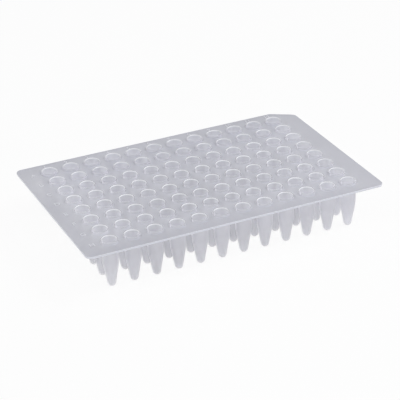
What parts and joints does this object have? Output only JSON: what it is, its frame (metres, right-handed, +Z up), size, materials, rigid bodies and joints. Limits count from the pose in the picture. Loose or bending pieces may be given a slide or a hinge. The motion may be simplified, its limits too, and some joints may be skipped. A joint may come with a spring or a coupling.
{
  "type": "well plate",
  "caption": "Thin flat deck with a grid of tapered, round-tipped wells moulded through it, each with a raised rim; one deck corner is cut off as a key.",
  "frame": {"origin": "middle of the deck's outline, on the plane that the well tips stand on", "axes": "+X along a row of wells, towards the end with the cut corner; +Y from the last row of wells towards the first, towards the cut corner; +Z up, out of the wells' mouths"},
  "size_m": [0.1222, 0.079, 0.0196],
  "materials": {
    "frosted_polypropylene": "natural translucent polypropylene, satin, slightly cloudy"
  },
  "bodies": {
    "root": {"well_plate": "frosted_polypropylene"}
  },
  "joints": []
}
